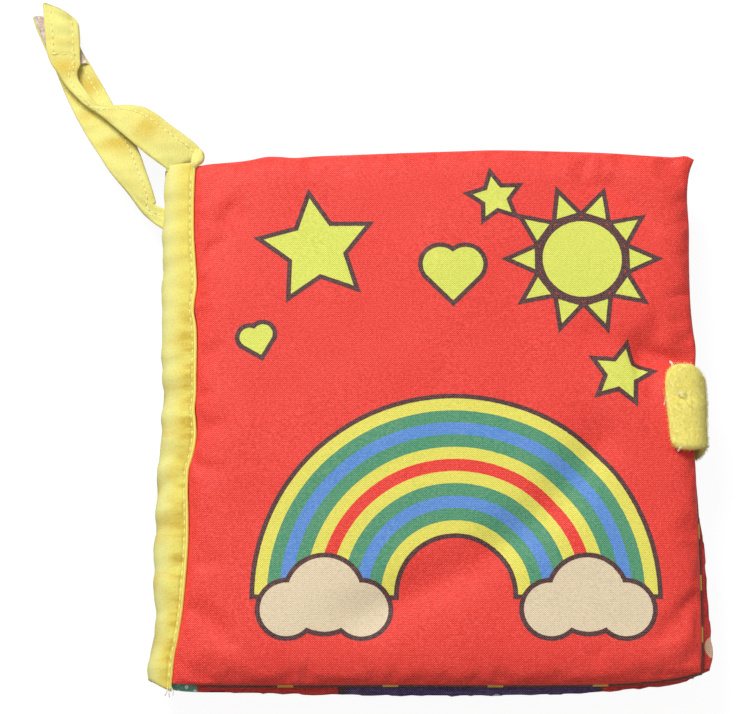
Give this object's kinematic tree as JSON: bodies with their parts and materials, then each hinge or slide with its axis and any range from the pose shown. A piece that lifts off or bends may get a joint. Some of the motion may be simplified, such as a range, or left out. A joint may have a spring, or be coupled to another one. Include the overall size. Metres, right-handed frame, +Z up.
{
  "type": "cloth book",
  "caption": "Square padded cloth book with hinged soft covers, a taped spine, a carrying strap and a plush closure tab on the fore edge.",
  "frame": {"origin": "on the underside of the back cover, at the middle of the closed book's outline from spine to fore edge and from tail to head", "axes": "+X from the spine to the fore edge, +Y from the tail to the head, +Z up out of the front cover"},
  "size_m": [0.1916, 0.2042, 0.0201],
  "materials": {
    "cover_cloth": "red printed woven polyester",
    "lining_cloth": "dark olive woven polyester with yellow dots",
    "page_cloth": "printed woven polyester, red with navy and cream fields",
    "tape": "yellow plain-woven binding tape",
    "thread": "yellow polyester sewing thread",
    "hook_pile": "pinkish white hook tape",
    "plush": "yellow brushed loop tape",
    "print_dark": "dark brown print on woven polyester",
    "print_lime": "lime print on woven polyester",
    "print_cream": "cream print on woven polyester",
    "print_yellow": "yellow print on woven polyester",
    "print_green": "green print on woven polyester",
    "print_blue": "blue print on woven polyester"
  },
  "bodies": {
    "book_block": {"pages": "page_cloth", "spine_binding": "tape", "spine_stitches": "thread", "strap_upper": "tape", "strap_lower": "tape", "strap_hook_patch": "hook_pile", "strap_loop_patch": "plush", "strap_stitches": "thread"},
    "front": {"front_cover": "cover_cloth", "front_cover_lining": "lining_cloth", "closure_tab": "plush", "cover_print_dark": "print_dark", "cover_print_lime": "print_lime", "cover_print_cream": "print_cream", "cover_print_yellow": "print_yellow", "cover_print_green": "print_green", "cover_print_blue": "print_blue"},
    "back": {"back_cover": "cover_cloth", "closure_hook_strip": "hook_pile"}
  },
  "joints": [
    {"name": "front_cover_hinge", "type": "hinge", "parent": "book_block", "child": "front", "pos_m": [-0.0663, 0, 0.0153], "axis": [-0.0298, -0.9996, 0], "range_deg": [0, 180]},
    {"name": "back_cover_hinge", "type": "hinge", "parent": "book_block", "child": "back", "pos_m": [-0.0663, 0, 0.0027], "axis": [0.0298, 0.9996, 0], "range_deg": [0, 180]}
  ]
}
